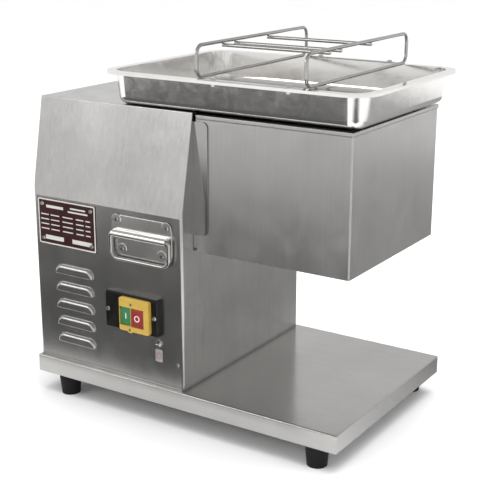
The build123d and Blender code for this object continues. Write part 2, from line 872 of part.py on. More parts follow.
with BuildPart() as tie_rods:
    with BuildSketch(Plane.YZ.offset(drive_plate_right)):
        with Locations(*rod_places):
            Circle(rod_radius)
    extrude(amount=far_plate_x - drive_plate_right)
    with BuildSketch(Plane.YZ.offset(drive_plate_x - 7)):
        with Locations(*rod_places):
            Circle(rod_stud_radius)
    extrude(amount=far_plate_right - drive_plate_x + 14)
    for nut_left in (drive_plate_x - 5, far_plate_right):
        with BuildSketch(Plane.YZ.offset(nut_left)):
            with Locations(*rod_places):
                RegularPolygon(radius=7.2, side_count=6)
        extrude(amount=5)
save(tie_rods, "tie_rods")

with BuildPart() as cassette_bushes:
    for left in (drive_plate_x, far_plate_x):
        with BuildSketch(Plane.YZ.offset(left)):
            for place in shaft_places:
                with Locations(place):
                    Circle(bush_radius)
                    Circle(blade_shaft_radius + running_gap, mode=Mode.SUBTRACT)
        extrude(amount=end_plate_thickness)
save(cassette_bushes, "cassette_bushes")

shaft_right = far_plate_right + 6

with BuildPart() as front_blade_shaft:
    with BuildSketch(Plane.YZ.offset(coupling_face + 1)):
        with Locations((front_shaft_y, blade_height)):
            Circle(blade_shaft_radius)
    extrude(amount=shaft_right - coupling_face - 1)
save(front_blade_shaft, "front_blade_shaft")

with BuildPart() as rear_blade_shaft:
    with BuildSketch(Plane.YZ.offset(coupling_face + 0.5)):
        with Locations((rear_shaft_y, blade_height)):
            Circle(blade_shaft_radius)
    extrude(amount=shaft_right - coupling_face - 0.5)
    # tongue across the end, standing in the output shaft's slot
    with BuildSketch(Plane.YZ.offset(coupling_face - tongue_depth + 0.5)):
        with Locations((rear_shaft_y, blade_height)):
            Circle(blade_shaft_radius)
            Rectangle(tongue_width, 4 * blade_shaft_radius, mode=Mode.INTERSECT)
    extrude(amount=tongue_depth)
save(rear_blade_shaft, "rear_blade_shaft")

front_blade_x = [first_blade + i * blade_pitch for i in range(blade_count)]
rear_blade_x = [x + blade_pitch / 2 for x in front_blade_x[:-1]]


def blade_set(places, shaft_y):
    """Circular blades with bevelled rims."""
    half = blade_thickness / 2
    with BuildPart() as blades:
        for x in places:
            with BuildSketch(Plane(origin=(x, shaft_y, blade_height), x_dir=(1, 0, 0), z_dir=(0, -1, 0))):
                with BuildLine():
                    Polyline(
                        (-half, blade_shaft_radius + fit_gap),
                        (-half, blade_radius - 4),
                        (-0.1, blade_radius),
                        (0.1, blade_radius),
                        (half, blade_radius - 4),
                        (half, blade_shaft_radius + fit_gap),
                        close=True,
                    )
                make_face()
            revolve(axis=Axis((x, shaft_y, blade_height), (1, 0, 0)))
    return blades


def spacer_set(places, shaft_y):
    """Rings that hold the blades apart, from one end plate to the other."""
    half = blade_thickness / 2
    starts = [drive_plate_right + 0.5] + [x + half for x in places]
    ends = [x - half for x in places] + [far_plate_x - 0.5]
    with BuildPart() as spacers:
        for start, end in zip(starts, ends):
            with BuildSketch(Plane.YZ.offset(start)):
                with Locations((shaft_y, blade_height)):
                    Circle(spacer_radius)
                    Circle(blade_shaft_radius + fit_gap, mode=Mode.SUBTRACT)
            extrude(amount=end - start)
    return spacers


save(blade_set(front_blade_x, front_shaft_y), "front_blades")
save(blade_set(rear_blade_x, rear_shaft_y), "rear_blades")
save(spacer_set(front_blade_x, front_shaft_y), "front_spacers")
save(spacer_set(rear_blade_x, rear_shaft_y), "rear_spacers")

comb_bar_thickness = 6.0
comb_height = 18.0
comb_tooth = 5.5
comb_edge = end_plate_width / 2 - 1


def comb(side, shaft_y, teeth_x):
    """Stripper comb: a bar outside the blades with a tooth in each gap.  Side is -1 in front, 1 behind."""
    bar_outer = hood_middle + side * comb_edge
    bar_middle = bar_outer - side * comb_bar_thickness / 2
    tooth_tip = shaft_y + side * (spacer_radius + 0.6)
    with BuildPart() as stripper:
        with BuildSketch(Plane.XY.offset(blade_height - comb_height / 2)):
            with Locations(((drive_plate_right + far_plate_x) / 2, bar_middle)):
                Rectangle(far_plate_x - drive_plate_right, comb_bar_thickness)
            for x in teeth_x:
                with Locations((x, (tooth_tip + bar_middle) / 2)):
                    Rectangle(comb_tooth, abs(bar_middle - tooth_tip))
        extrude(amount=comb_height)
    return stripper


save(comb(-1, front_shaft_y, rear_blade_x), "front_comb")
save(comb(1, rear_shaft_y, front_blade_x), "rear_comb")

cassette_gear_left = 13.0
cassette_gear_width = 11.0
half_tooth = 180 / cassette_teeth

for gear_name, gear_y, first_tooth in (
    ("front_cassette_gear", front_shaft_y, half_tooth),
    ("rear_cassette_gear", rear_shaft_y, 0),
):
    cassette_gear = spur_gear(
        cassette_teeth,
        (gear_y, blade_height),
        first_tooth,
        cassette_gear_left,
        cassette_gear_width,
        blade_shaft_radius,
    )
    save(cassette_gear, gear_name)

# ---------------------------------------------------------------- feed tray

well_top_length = tray_length - 2 * rim_width
well_top_width = tray_width - 2 * rim_width
floor_length = well_top_length - 2 * wall_draft
floor_width = well_top_width - 2 * wall_draft
rim_corner = 38.0
well_corner = 27.0
floor_corner = 22.0
rim_roll = 4.0                  # depth of the turned-down edge
feed_slot_length = throat_length - 2 * sheet
feed_slot_width = throat_width - 2 * sheet


def tray_section(height, length, width, corner):
    """A level rounded rectangle about the tray's centre."""
    with BuildSketch(Plane.XY.offset(height)) as section:
        with Locations((tray_x, tray_y)):
            RectangleRounded(length, width, corner)
    return section.sketch


def tray_hollow(inset):
    """The tray's drafted well as a solid, that much smaller on its sides and bottom."""
    floor = tray_section(
        tray_floor + inset,
        floor_length - 2 * inset,
        floor_width - 2 * inset,
        floor_corner - inset,
    )
    mouth = tray_section(
        rim_top,
        well_top_length - 2 * inset,
        well_top_width - 2 * inset,
        well_corner - inset,
    )
    with BuildPart() as hollow:
        loft([floor, mouth])
        fillet(hollow.faces().sort_by(Axis.Z)[0].edges(), radius=well_bottom_radius - inset)
    return hollow.part


with BuildPart() as feed_tray:
    # flat rim with a turned-down edge
    roll_bottom = rim_top - rim_roll
    extrude(tray_section(roll_bottom, tray_length, tray_width, rim_corner), amount=rim_roll)
    under_rim = tray_section(roll_bottom, tray_length - 4, tray_width - 4, rim_corner - 2)
    extrude(under_rim, amount=rim_roll - tray_sheet, mode=Mode.SUBTRACT)
    # well with rounded bottom edges
    add(tray_hollow(0))
    add(tray_hollow(tray_sheet), mode=Mode.SUBTRACT)
    # slot that the meat is fed through
    with BuildSketch(Plane.XY.offset(tray_floor - 1)):
        with Locations((throat_x, throat_y)):
            RectangleRounded(feed_slot_length, feed_slot_width, 4)
    extrude(amount=tray_sheet + 2, mode=Mode.SUBTRACT)
    # holes for the guard's screws
    with BuildSketch(Plane.XY.offset(rim_top - 2)):
        with Locations(*guard_screw_places):
            Circle(2.6)
    extrude(amount=4, mode=Mode.SUBTRACT)
save(feed_tray, "feed_tray")

with BuildPart() as feed_throat:
    with BuildSketch(Plane.XY.offset(throat_bottom)):
        with Locations((throat_x, throat_y)):
            RectangleRounded(throat_length, throat_width, 5)
            RectangleRounded(feed_slot_length, feed_slot_width, 4, mode=Mode.SUBTRACT)
    extrude(amount=tray_floor - throat_bottom)
save(feed_throat, "feed_throat")

# ---------------------------------------------------------------- finger guard on the tray

wire_bend = 12.0
guard_foot = rim_top + wire_radius
strip_thickness = 1.5


def wire_hoop(x):
    """One side of the guard: a wire bent to a closed loop across the tray."""
    with BuildPart() as hoop:
        with BuildLine(Plane.YZ.offset(x)) as loop:
            FilletPolyline(
                (guard_front, guard_foot),
                (guard_front, guard_top),
                (guard_back, guard_top),
                (guard_back, guard_foot),
                radius=wire_bend,
                close=True,
            )
        start = loop.wire() @ 0
        with BuildSketch(Plane(origin=start, z_dir=loop.wire() % 0)):
            Circle(wire_radius)
        sweep(path=loop.wire())
    return hoop


save(wire_hoop(guard_x - guard_half_width), "guard_left_hoop")
save(wire_hoop(guard_x + guard_half_width), "guard_right_hoop")

with BuildPart() as guard_cross_wires:
    with BuildSketch(Plane.YZ.offset(guard_x - guard_half_width)):
        with Locations(*[(y, guard_top - 2 * wire_radius) for y in cross_wire_y]):
            Circle(wire_radius)
    extrude(amount=2 * guard_half_width)
save(guard_cross_wires, "guard_cross_wires")

with BuildPart() as guard_strips:
    for y in (guard_front, guard_back):
        with BuildSketch(Plane.XY.offset(rim_top)):
            with Locations((guard_x, y)):
                Rectangle(2 * guard_half_width - 2 * wire_radius - 1, 8)
                with Locations((-guard_screw_offset, 0), (guard_screw_offset, 0)):
                    Circle(2.6, mode=Mode.SUBTRACT)
        extrude(amount=strip_thickness)
save(guard_strips, "guard_strips")

with BuildPart() as guard_screws:
    screw_seat = Plane.XY.offset(rim_top + strip_thickness)
    with BuildSketch(screw_seat):
        with Locations(*guard_screw_places):
            Circle(4.4)
    extrude(amount=2.6, taper=28)
    with BuildSketch(screw_seat):
        with Locations(*guard_screw_places):
            Circle(2.5)
    extrude(amount=-9)
    with BuildSketch(Plane.XY.offset(rim_top - tray_sheet)):
        with Locations(*guard_screw_places):
            RegularPolygon(radius=4.6, side_count=6)
    extrude(amount=-3.6)
save(guard_screws, "guard_screws")

# ---------------------------------------------------------------- controls on the front

pocket_depth = 22.0
pocket_gap = 0.5
box_face = front_face.offset(switch_proud)
bezel_face = box_face.offset(bezel_proud)
button_pockets = [
    (start_x, start_width + 2 * pocket_gap),
    (stop_x, stop_width + 2 * pocket_gap),
]
box_screws = [(switch_x - 41.5, 161.0), (switch_x + 41.5, 161.0)]
bezel_screws = [(-80.6, 138.6), (-78.0, 177.0)]
start_proud = 13.5              # button faces in front of the column
stop_proud = 16.0
button_depth = 9.0

with BuildPart() as switch_box:
    with BuildSketch(front_face):
        with Locations((switch_x, switch_z)):
            RectangleRounded(switch_width, switch_height, 4)
    extrude(amount=switch_proud)
    box_rim = switch_box.faces().sort_by(Axis.Y)[0].edges()
    chamfer(box_rim, length=2.2)
    with BuildSketch(front_face):
        with Locations((switch_x, switch_z)):
            Rectangle(switch_body_width, switch_body_height)
    extrude(amount=-38)
    with BuildSketch(box_face):
        for pocket_x, pocket_width in button_pockets:
            with Locations((pocket_x, button_z)):
                Rectangle(pocket_width, button_height + 2 * pocket_gap)
    extrude(amount=-pocket_depth, mode=Mode.SUBTRACT)
    with BuildSketch(box_face):
        with Locations(*box_screws, *bezel_screws):
            Circle(1.6)
    extrude(amount=-7, mode=Mode.SUBTRACT)
save(switch_box, "switch_box")

with BuildPart() as switch_bezel:
    with BuildSketch(box_face):
        with Locations((bezel_x, switch_z)):
            RectangleRounded(bezel_width, bezel_height, 3)
        with Locations(bezel_screws[0]):
            Circle(5.2)
    extrude(amount=bezel_proud)
    fillet(switch_bezel.faces().sort_by(Axis.Y)[0].edges(), radius=1.0)
    with BuildSketch(box_face.offset(-1)):
        for pocket_x, pocket_width in button_pockets:
            with Locations((pocket_x, button_z)):
                Rectangle(pocket_width, button_height + 2 * pocket_gap)
        with Locations(*bezel_screws):
            Circle(1.6)
    extrude(amount=bezel_proud + 2, mode=Mode.SUBTRACT)
save(switch_bezel, "switch_bezel")


def button(x, width, proud, edge_radius):
    """One push button cap, with its face that far in front of the column."""
    with BuildPart() as cap:
        with BuildSketch(front_face.offset(proud - button_depth)):
            with Locations((x, button_z)):
                RectangleRounded(width, button_height, 2)
        extrude(amount=button_depth)
        fillet(cap.faces().sort_by(Axis.Y)[0].edges(), radius=edge_radius)
    return cap


save(button(start_x, start_width, start_proud, 0.8), "start_button")
save(button(stop_x, stop_width, stop_proud, 1.6), "stop_button")

switch_screws = pan_heads(
    (box_screws, box_face, (3.6, 1.8), (1.5, 6)),
    (bezel_screws, bezel_face, (2.2, 0.7), (1.5, 12)),
)
save(switch_screws, "switch_screws")

# ---------------------------------------------------------------- fittings on the front

barrel_reach = 6.5              # barrel centre in front of the column
barrel_half_length = 47.5
bail_pin = 12.0                 # length of each bail end inside the barrel
handle_sheet = 1.2
pad_radius = 8.5
pad_proud = 0.7
handle_top_corner = 14.0

with BuildPart() as handle_plate:
    plate_middle = (handle_plate_top + handle_plate_bottom) / 2
    with BuildSketch(front_face):
        with Locations((handle_x, plate_middle)):
            RectangleRounded(handle_plate_width, handle_plate_top - handle_plate_bottom, handle_top_corner)
    extrude(amount=handle_sheet)
    with BuildSketch(front_face.offset(handle_sheet)):
        with Locations(*handle_rivets):
            Circle(pad_radius)
    extrude(amount=pad_proud, taper=40)
    # hinge barrel rolled out of the plate
    with BuildSketch(Plane.YZ.offset(handle_x - barrel_half_length)):
        with Locations((column_front - barrel_reach, barrel_z)):
            Circle(barrel_radius)
        with Locations((column_front - (barrel_reach + handle_sheet) / 2, barrel_z + barrel_radius - 1.5)):
            Rectangle(barrel_reach - handle_sheet, 3)
    extrude(amount=2 * barrel_half_length)
    with BuildSketch(Plane.YZ.offset(handle_x - barrel_half_length - 1)):
        with Locations((column_front - barrel_reach, barrel_z)):
            Circle(bail_radius + running_gap)
    extrude(amount=2 * barrel_half_length + 2, mode=Mode.SUBTRACT)
    with BuildSketch(front_face):
        with Locations(*handle_rivets):
            Circle(1.6)
    extrude(amount=handle_sheet + pad_proud, mode=Mode.SUBTRACT)
save(handle_plate, "handle_plate")

bail_plane = front_face.offset(barrel_reach)
bail_inner_end = bail_half_width - 3.5 - bail_pin

with BuildPart() as handle_bail:
    with BuildLine(bail_plane) as bail_path:
        FilletPolyline(
            (handle_x - bail_inner_end, barrel_z),
            (handle_x - bail_half_width, barrel_z),
            (handle_x - bail_half_width, barrel_z - bail_drop),
            (handle_x + bail_half_width, barrel_z - bail_drop),
            (handle_x + bail_half_width, barrel_z),
            (handle_x + bail_inner_end, barrel_z),
            radius=[3.4, 13, 13, 3.4],
        )
    with BuildSketch(Plane(origin=bail_path.wire() @ 0, z_dir=bail_path.wire() % 0)):
        Circle(bail_radius)
    sweep(path=bail_path.wire())
save(handle_bail, "handle_bail")

with BuildPart() as rating_plate:
    with BuildSketch(front_face):
        with Locations((plate_x, plate_z)):
            Rectangle(plate_width, plate_height)
        with Locations(*plate_rivets):
            Circle(1.6, mode=Mode.SUBTRACT)
    extrude(amount=0.8)
save(rating_plate, "rating_plate")

panel_rivets = pan_heads(
    (plate_rivets, front_face.offset(0.8), (3.3, 1.5), (1.5, 6)),
    (handle_rivets, front_face.offset(handle_sheet + pad_proud), (3.3, 1.0), (1.5, 7)),
    recess=False,
)
save(panel_rivets, "panel_rivets")

with BuildPart() as earth_screw:
    # washer, coned head with a slot, and shank
    with BuildSketch(front_face):
        with Locations(earth_screw_place):
            Circle(6.2)
    extrude(amount=1.2)
    with BuildSketch(front_face.offset(1.2)):
        with Locations(earth_screw_place):
            Circle(4.6)
    extrude(amount=3.2, taper=20)
    with BuildSketch(front_face.offset(4.4)):
        with Locations(earth_screw_place):
            Rectangle(12, 1.0)
    extrude(amount=-1.2, mode=Mode.SUBTRACT)
    with BuildSketch(front_face):
        with Locations(earth_screw_place):
            Circle(2.5)
    extrude(amount=-12)
save(earth_screw, "earth_screw")
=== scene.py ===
import math

import bmesh
import bpy
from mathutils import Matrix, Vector


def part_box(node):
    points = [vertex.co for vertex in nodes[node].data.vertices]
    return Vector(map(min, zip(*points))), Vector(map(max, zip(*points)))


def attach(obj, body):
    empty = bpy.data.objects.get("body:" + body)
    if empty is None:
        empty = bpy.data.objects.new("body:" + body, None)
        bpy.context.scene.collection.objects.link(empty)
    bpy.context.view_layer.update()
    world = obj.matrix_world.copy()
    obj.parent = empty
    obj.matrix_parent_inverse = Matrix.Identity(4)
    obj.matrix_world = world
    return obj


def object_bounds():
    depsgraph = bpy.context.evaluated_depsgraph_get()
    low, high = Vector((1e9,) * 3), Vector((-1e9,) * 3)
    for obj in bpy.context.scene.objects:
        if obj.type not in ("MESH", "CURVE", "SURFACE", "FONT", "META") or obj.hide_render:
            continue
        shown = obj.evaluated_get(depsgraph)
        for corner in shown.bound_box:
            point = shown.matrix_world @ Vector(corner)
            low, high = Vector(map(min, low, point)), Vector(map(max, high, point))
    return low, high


# Looks of a bench-top strip cutter for fresh meat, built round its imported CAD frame.
# Metres, +Z up, -Y towards the operator, +X towards the cutting head.

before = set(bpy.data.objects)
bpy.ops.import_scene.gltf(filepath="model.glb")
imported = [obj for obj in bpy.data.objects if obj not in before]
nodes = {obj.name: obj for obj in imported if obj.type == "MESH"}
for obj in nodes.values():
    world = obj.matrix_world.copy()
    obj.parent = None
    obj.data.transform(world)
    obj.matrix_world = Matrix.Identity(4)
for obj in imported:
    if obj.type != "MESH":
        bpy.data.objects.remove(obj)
cad_low, cad_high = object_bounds()
scene = bpy.context.scene
MM = 0.001


# ---------------------------------------------------------------- material kit

def fill_ramp(ramp, stops):
    """Give a colour ramp its (position, colour) stops."""
    elements = ramp.color_ramp.elements
    while len(elements) < len(stops):
        elements.new(0.5)
    for element, (position, colour) in zip(elements, stops):
        element.position = position
        element.color = (*colour, 1.0)


class Finish:
    """A material under construction.

    Patterns use object coordinates: the frame's metres, except on a flag, which is scaled."""

    def __init__(self, name, roughness, metallic=0.0, **sockets):
        self.material = bpy.data.materials.new(name)
        self.material.use_nodes = True
        self.tree = self.material.node_tree
        self.shader = self.tree.nodes["Principled BSDF"]
        self.shader.inputs["Roughness"].default_value = roughness
        self.shader.inputs["Metallic"].default_value = metallic
        for socket, value in sockets.items():
            self.shader.inputs[socket.replace("_", " ")].default_value = value
        self.place = self.tree.nodes.new("ShaderNodeTexCoord").outputs["Object"]

    def link(self, source, target):
        self.tree.links.new(source, target)

    def noise(self, scale, detail=3.0, rough=0.55, distortion=0.0):
        """Noise from 0 to 1; scale is per metre, one number or one for each axis."""
        if not hasattr(scale, "__len__"):
            scale = (scale, scale, scale)
        mapping = self.tree.nodes.new("ShaderNodeMapping")
        mapping.inputs["Scale"].default_value = scale
        self.link(self.place, mapping.inputs["Vector"])
        texture = self.tree.nodes.new("ShaderNodeTexNoise")
        texture.inputs["Scale"].default_value = 1.0
        texture.inputs["Detail"].default_value = detail
        texture.inputs["Roughness"].default_value = rough
        texture.inputs["Distortion"].default_value = distortion
        self.link(mapping.outputs["Vector"], texture.inputs["Vector"])
        return texture.outputs["Fac"]

    def blend(self, first, second, share):
        """Weighted mean of two patterns; share is the second one's weight."""
        mix = self.tree.nodes.new("ShaderNodeMix")
        mix.inputs["Factor"].default_value = share
        self.link(first, mix.inputs["A"])
        self.link(second, mix.inputs["B"])
        return mix.outputs["Result"]

    def spread(self, pattern, low, high, start=0.3, end=0.7):
        """A pattern's middle range stretched to run from low to high."""
        node = self.tree.nodes.new("ShaderNodeMapRange")
        node.inputs["From Min"].default_value = start
        node.inputs["From Max"].default_value = end
        node.inputs["To Min"].default_value = low
        node.inputs["To Max"].default_value = high
        self.link(pattern, node.inputs["Value"])
        return node.outputs["Result"]

    def colours(self, pattern, *stops):
        """Base colour from a pattern through (position, colour) stops."""
        ramp = self.tree.nodes.new("ShaderNodeValToRGB")
        fill_ramp(ramp, stops)
        self.link(pattern, ramp.inputs["Fac"])
        self.link(ramp.outputs["Color"], self.shader.inputs["Base Color"])

    def painted_shade(self, axis, start, end, low):
        """Painted shade: darken the base colour to low times itself at start, fading out by end,
        along an axis.
        """
        base_colour = self.shader.inputs["Base Color"]
        split = self.tree.nodes.new("ShaderNodeSeparateXYZ")
        self.link(self.place, split.inputs["Vector"])
        shade = self.spread(split.outputs[axis], low, 1.0, start=start, end=end)
        mix = self.tree.nodes.new("ShaderNodeVectorMath")
        mix.operation = "SCALE"
        self.link(base_colour.links[0].from_socket, mix.inputs[0])
        self.link(shade, mix.inputs["Scale"])
        self.link(mix.outputs["Vector"], base_colour)

    def rough(self, pattern, low, high):
        """Roughness from a pattern's middle range, from low to high."""
        self.link(self.spread(pattern, low, high), self.shader.inputs["Roughness"])

    def relief(self, *layers, edge=0.0):
        """Bump layers, each (pattern, strength, depth in metres), over edges that look rounded."""
        normal = None
        if edge > 0:
            rounding = self.tree.nodes.new("ShaderNodeBevel")
            rounding.samples = 6
            rounding.inputs["Radius"].default_value = edge
            normal = rounding.outputs["Normal"]
        for pattern, strength, depth in layers:
            bump = self.tree.nodes.new("ShaderNodeBump")
            bump.inputs["Strength"].default_value = strength
            bump.inputs["Distance"].default_value = depth
            self.link(pattern, bump.inputs["Height"])
            if normal is not None:
                self.link(normal, bump.inputs["Normal"])
            normal = bump.outputs["Normal"]
        self.link(normal, self.shader.inputs["Normal"])


def grey(value, warmth=0.015):
    """A grey, slightly warm unless warmth is 0."""
    return (value * (1 + warmth), value, value * (1 - 1.6 * warmth))


def along(axis, fine, stretch):
    """Noise scale for streaks that run along one axis, stretch times longer than they are wide."""
    return tuple(fine / stretch if letter == axis else fine for letter in "XYZ")


def brushed(name, tone, roughness, axis, contrast=0.16, wave=0.1, edge=1.6, painted_shade=()):
    """Brushed sheet metal: fine grain, broader streaks, hand marks and a little waviness.

    Folded edges look rounded to a radius of edge mm.  Each entry of the last argument is a band of
    painted shade, as the Finish method for it takes: an axis, a start and an end in metres, and a
    shade."""
    finish = Finish(name, roughness, metallic=1.0)
    hair = finish.noise(along(axis, 1300, 60), detail=2)
    streak = finish.noise(along(axis, 260, 30), detail=3)
    cloud = finish.noise(9, detail=5, rough=0.6)
    smudge = finish.noise(24, detail=2, distortion=0.4)
    brushing = finish.blend(hair, streak, 0.45)
    tint = finish.blend(brushing, cloud, 0.5)
    finish.colours(
        tint,
        (0.3, grey(tone * (1 - contrast))),
        (0.5, grey(tone)),
        (0.7, grey(tone * (1 + contrast))),
    )
    finish.rough(smudge, roughness * 0.88, roughness * 1.14)
    buckle = finish.noise(7, detail=1)
    finish.relief((buckle, wave, 4 * MM), edge=edge * MM)
    # Painted shade: each band darkens the base colour where shade falls.
    for shade_band in painted_shade:
        finish.painted_shade(*shade_band)
    return finish.material


def polished(name, tone, roughness, wave=0.15):
    """Polished pressed metal: faint scratches, water marks and pressing waves."""
    finish = Finish(name, roughness, metallic=1.0)
    marks = finish.noise(45, detail=6, rough=0.7, distortion=1.2)
    scratch = finish.noise((900, 60, 900), detail=3)
    cross = finish.noise((50, 800, 400), detail=3)
    scratches = finish.blend(scratch, cross, 0.5)
    film = finish.blend(marks, scratches, 0.4)
    finish.colours(film, (0.3, grey(tone * 0.9)), (0.7, grey(min(1.0, tone * 1.06))))
    finish.rough(film, roughness * 0.6, roughness * 1.7)
    press = finish.noise(16, detail=2)
    finish.relief((press, wave, 2.5 * MM), (scratches, 0.12, 0.05 * MM))
    return finish.material


def machined(name, tone, roughness, scale=700):
    """Turned or ground metal: a fine tooled texture with oil stains."""
    finish = Finish(name, roughness, metallic=1.0)
    tooling = finish.noise((scale, scale / 3, scale / 3), detail=4)
    stain = finish.noise(60, detail=5, rough=0.6, distortion=0.8)
    both = finish.blend(tooling, stain, 0.5)
    finish.colours(both, (0.3, grey(tone * 0.78, 0.03)), (0.7, grey(tone * 1.1, 0.0)))
    finish.rough(stain, roughness * 0.85, roughness * 1.3)
    finish.relief((tooling, 0.25, 0.05 * MM))
    return finish.material


def painted(name, colour, roughness, chip=0.12):
    """Sprayed paint with orange peel, rubbed tones and dust."""
    finish = Finish(name, roughness)
    peel = finish.noise(520, detail=3)
    wear = finish.noise(30, detail=6, rough=0.7, distortion=0.5)
    finish.colours(
        wear,
        (0.35, tuple(c * (1 - chip) for c in colour)),
        (0.6, colour),
        (0.75, tuple(min(1.0, c * (1 + chip) + 0.02) for c in colour)),
    )
    finish.rough(wear, roughness * 0.8, roughness * 1.35)
    finish.relief((peel, 0.2, 0.08 * MM))
    return finish.material


def moulded(name, colour, roughness, texture=0.18, scale=900, fade=0.12, shine=0.5):
    """Moulded plastic or rubber: spark-eroded texture, handling shine and dust."""
    finish = Finish(name, roughness, Specular_IOR_Level=shine)
    skin = finish.noise(scale, detail=3)
    handling = finish.noise(55, detail=5, rough=0.65, distortion=0.4)
    finish.colours(
        handling,
        (0.35, tuple(c * (1 - fade) for c in colour)),
        (0.7, tuple(min(1.0, c * (1 + fade) + 0.004) for c in colour)),
    )
    finish.rough(handling, roughness * 0.8, min(1.0, roughness * 1.25))
    finish.relief((skin, texture, 0.05 * MM))
    return finish.material


# ---------------------------------------------------------------- finishes

# Painted shade: the column's steel darkens over its lowest few millimetres, in place of the shadow
# where it meets the base pan.
column_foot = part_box("column_shell")[0].z
foot_shade_height = 7 * MM            # how far the painted shade reaches up the column from the base pan
seam_shade = 0.55
column_foot_shade = ("Z", column_foot, column_foot + foot_shade_height, seam_shade)
column_steel = brushed(
    "column_steel", 0.45, 0.232, "Z", contrast=0.2, wave=0.16, painted_shade=[column_foot_shade]
)
hood_steel = brushed("hood_steel", 0.43, 0.322, "Z", contrast=0.10)
# Painted shade and reflection: the tabs are darker than the hood to stand for the column's shadow
# and dark reflection on them.
tab_steel_shaded = brushed("tab_steel_shaded", 0.31, 0.15, "Z", contrast=0.08, wave=0.04, edge=0.6)
base_steel = brushed("base_steel", 0.46, 0.18, "X", contrast=0.11)
cover_steel = brushed("cover_steel", 0.40, 0.322, "Z", contrast=0.10)
fitting_steel = brushed("fitting_steel", 0.66, 0.225, "X", contrast=0.16, edge=0.8)
tray_steel = polished("tray_steel", 0.76, 0.11, wave=0.08)
wire_steel = polished("wire_steel", 0.42, 0.12, wave=0.05)
fastener_steel = machined("fastener_steel", 0.62, 0.2)
machined_steel = machined("machined_steel", 0.5, 0.34)
blade_steel = machined("blade_steel", 0.62, 0.18, scale=1100)
gear_steel = machined("gear_steel", 0.3, 0.36)
pulley_iron = machined("pulley_iron", 0.2, 0.45)
motor_alloy = machined("motor_alloy", 0.55, 0.5, scale=380)
bush_bronze = Finish("bush_bronze", 0.3, metallic=1.0)
bronze_stain = bush_bronze.noise(70, detail=5, distortion=0.6)
bush_bronze.colours(bronze_stain, (0.3, (0.42, 0.26, 0.10)), (0.7, (0.72, 0.50, 0.24)))
bush_bronze.rough(bronze_stain, 0.29, 0.42)
bush_bronze.relief((bush_bronze.noise((900, 300, 300)), 0.2, 0.05 * MM))

slot_finish = {
    "stainless_sheet": cover_steel,
    "tray_steel": tray_steel,
    "bright_wire": wire_steel,
    "fastener_steel": fastener_steel,
    "machined_steel": machined_steel,
    "blade_steel": blade_steel,
    "gear_steel": gear_steel,
    "frame_plate": painted("frame_paint", (0.17, 0.18, 0.19), 0.5),
    "motor_paint": painted("motor_paint", (0.05, 0.10, 0.16), 0.42),
    "motor_alloy": motor_alloy,
    "pulley_iron": pulley_iron,
    "belt_rubber": moulded("belt_rubber", (0.018, 0.018, 0.018), 0.75, texture=0.3),
    "bush_bronze": bush_bronze.material,
    "foot_rubber": moulded("foot_rubber", (0.006, 0.006, 0.006), 0.62, scale=600, shine=0.2),
    "black_plastic": moulded("black_plastic", (0.005, 0.005, 0.005), 0.34, texture=0.1, shine=0.25),
    "comb_plastic": moulded("comb_plastic", (0.74, 0.74, 0.71), 0.45, fade=0.05),
    "yellow_plastic": moulded("yellow_plastic", (0.56, 0.37, 0.06), 0.34, texture=0.1, fade=0.06),
    "green_plastic": moulded("green_plastic", (0.035, 0.19, 0.07), 0.32, texture=0.1),
    "red_plastic": moulded("red_plastic", (0.27, 0.022, 0.018), 0.32, texture=0.1),
    "plate_print": moulded("plate_print", (0.034, 0.007, 0.006), 0.4, texture=0.05, shine=0.2),
}
node_finish = {
    "column_shell": column_steel,
    "head_hood": hood_steel,
    "hood_tabs": tab_steel_shaded,
    "base_pan": base_steel,
    "handle_plate": fitting_steel,
}
for name, node in nodes.items():
    materials = node.data.materials
    for index, old in enumerate(materials):
        materials[index] = node_finish.get(name, slot_finish[old.name.split(".")[0]])


# ---------------------------------------------------------------- mesh kit

def as_piece(mesh, name, finish, body):
    """Turn a bmesh into a piece that rides on a CAD body."""
    data = bpy.data.meshes.new(name)
    bmesh.ops.recalc_face_normals(mesh, faces=mesh.faces)
    mesh.to_mesh(data)
    mesh.free()
    piece = bpy.data.objects.new(name, data)
    scene.collection.objects.link(piece)
    data.materials.append(finish)
    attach(piece, body)


def slab(mesh, outline, front, depth):
    """A thin closed solid from an (x, z) outline: one face at y = front, the other depth behind."""
    face_points = [mesh.verts.new((x, front, z)) for x, z in outline]
    back_points = [mesh.verts.new((x, front + depth, z)) for x, z in outline]
    mesh.faces.new(face_points)
    mesh.faces.new(reversed(back_points))
    count = len(outline)
    for i in range(count):
        j = (i + 1) % count
        mesh.faces.new((face_points[j], face_points[i], back_points[i], back_points[j]))


def ring(mesh, inner, outer, front, depth):
    """A thin closed frame between two outlines with the same number of points."""
    back = front + depth
    loops = []
    for outline, y in ((inner, front), (outer, front), (outer, back), (inner, back)):
        loops.append([mesh.verts.new((x, y, z)) for x, z in outline])
    count = len(inner)
    for k in range(4):
        near, far = loops[k], loops[(k + 1) % 4]
        for i in range(count):
            j = (i + 1) % count
            mesh.faces.new((near[i], near[j], far[j], far[i]))


def rectangle(x, z, width, height, corner=0.0, steps=5):
    """Outline of a rectangle about (x, z), with rounded corners if corner isn't 0."""
    half_w, half_h = width / 2, height / 2
    if corner == 0:
        return [(x + i * half_w, z + j * half_h) for i, j in ((-1, -1), (1, -1), (1, 1), (-1, 1))]
    points = []
    for quarter, (i, j) in enumerate(((1, 1), (-1, 1), (-1, -1), (1, -1))):
        centre_x = x + i * (half_w - corner)
        centre_z = z + j * (half_h - corner)
        for step in range(steps + 1):
            angle = math.pi / 2 * (quarter + step / steps)
            across, up = corner * math.cos(angle), corner * math.sin(angle)
            points.append((centre_x + across, centre_z + up))
    return points


def circle(x, z, radius, count=40):
    """Outline of a circle about (x, z)."""
    angles = [2 * math.pi * i / count for i in range(count)]
    return [(x + radius * math.cos(angle), z + radius * math.sin(angle)) for angle in angles]


def front_of(node):
    """Middle (x, z) of a node's front face, and the y that the face lies at."""
    low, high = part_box(node)
    return (low.x + high.x) / 2, (low.z + high.z) / 2, low.y


# ---------------------------------------------------------------- print on the rating plate

INK = 0.08 * MM                 # how far printing stands off its surface

